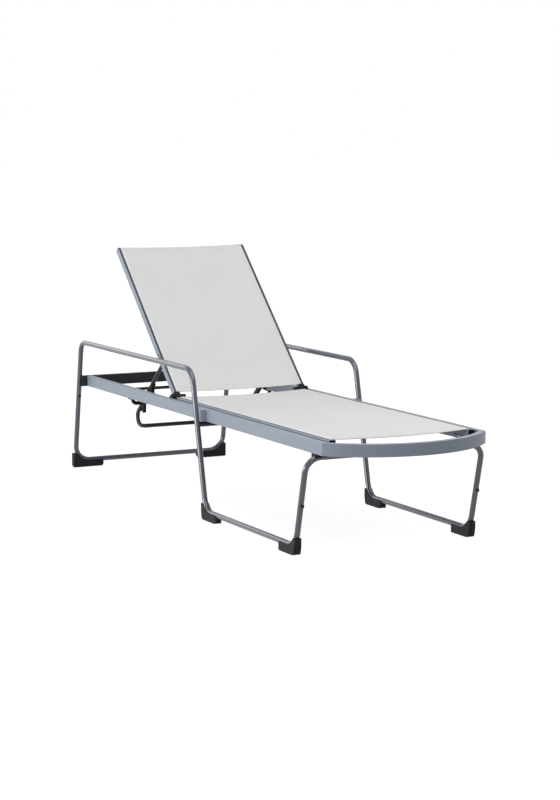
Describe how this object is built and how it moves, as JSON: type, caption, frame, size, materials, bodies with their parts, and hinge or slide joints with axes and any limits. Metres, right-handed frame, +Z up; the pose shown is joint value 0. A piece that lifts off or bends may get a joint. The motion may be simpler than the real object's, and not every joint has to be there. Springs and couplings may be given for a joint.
{
  "type": "stacking chaise lounge",
  "caption": "Stacking patio chaise lounge: bowed rail frame, looped tube arms, capped feet, stretched slings and a hinged back held by a folding prop.",
  "frame": {"origin": "on the floor, in the middle of the bounding box", "axes": "+Y towards the head end, +X towards the right arm as seen from the foot end, +Z up"},
  "size_m": [0.661, 2.153, 0.8779],
  "materials": {
    "frame_aluminium": "satin grey coating",
    "prop_steel": "satin dark grey paint",
    "dark_steel": "satin black paint",
    "black_steel": "satin black",
    "zinc_steel": "zinc plated",
    "foot_rubber": "matte",
    "black_plastic": "satin",
    "spline_cord": "matte",
    "sling_fabric": "woven, coated mesh"
  },
  "bodies": {
    "frame": {"left_side_rail": "frame_aluminium", "right_side_rail": "frame_aluminium", "foot_bar": "frame_aluminium", "rear_crossbar": "frame_aluminium", "left_arm_loop": "frame_aluminium", "right_arm_loop": "frame_aluminium", "rear_leg_hoop": "frame_aluminium", "foot_leg_hoop": "frame_aluminium", "tube_connectors": "zinc_steel", "front_cross_tube": "frame_aluminium", "rear_rest_rod": "prop_steel", "left_post_bracket": "frame_aluminium", "right_post_bracket": "frame_aluminium", "left_catch_peg": "dark_steel", "right_catch_peg": "dark_steel", "hoop_pads": "black_plastic", "rear_foot_left": "foot_rubber", "rear_foot_right": "foot_rubber", "post_foot_left": "foot_rubber", "post_foot_right": "foot_rubber", "end_foot_left": "foot_rubber", "end_foot_right": "foot_rubber", "stacking_bumpers": "black_plastic", "left_seat_rail": "frame_aluminium", "right_seat_rail": "frame_aluminium", "seat_sling": "sling_fabric", "seat_splines": "spline_cord", "seat_front_spreader": "frame_aluminium", "seat_rear_spreader": "frame_aluminium", "seat_rail_caps": "black_plastic", "seat_rail_cleats": "frame_aluminium", "cleat_screws": "zinc_steel", "left_hinge_bracket": "black_plastic", "right_hinge_bracket": "black_plastic", "hinge_pins": "black_steel"},
    "backrest": {"left_back_rail": "frame_aluminium", "right_back_rail": "frame_aluminium", "back_sling": "sling_fabric", "back_splines": "spline_cord", "back_top_spreader": "frame_aluminium", "back_bottom_spreader": "frame_aluminium", "back_rail_caps": "black_plastic", "hinge_bushes": "black_plastic", "prop_pivot_pins": "zinc_steel"},
    "prop": {"prop_bail": "prop_steel", "left_prop_rack": "black_plastic", "right_prop_rack": "black_plastic"}
  },
  "joints": [
    {"name": "backrest_recline", "type": "hinge", "parent": "frame", "child": "backrest", "pos_m": [0, 0.23151, 0.37], "axis": [1, 0, 0], "range_deg": [-43.6, 0]},
    {"name": "prop_swing", "type": "hinge", "parent": "backrest", "child": "prop", "pos_m": [0, 0.36893, 0.49396], "axis": [1, 0, 0], "range_deg": [0, 84.4]}
  ],
  "couplings": [
    {"joint": "prop_swing", "follows": "backrest_recline", "ratio": -1.9358}
  ]
}
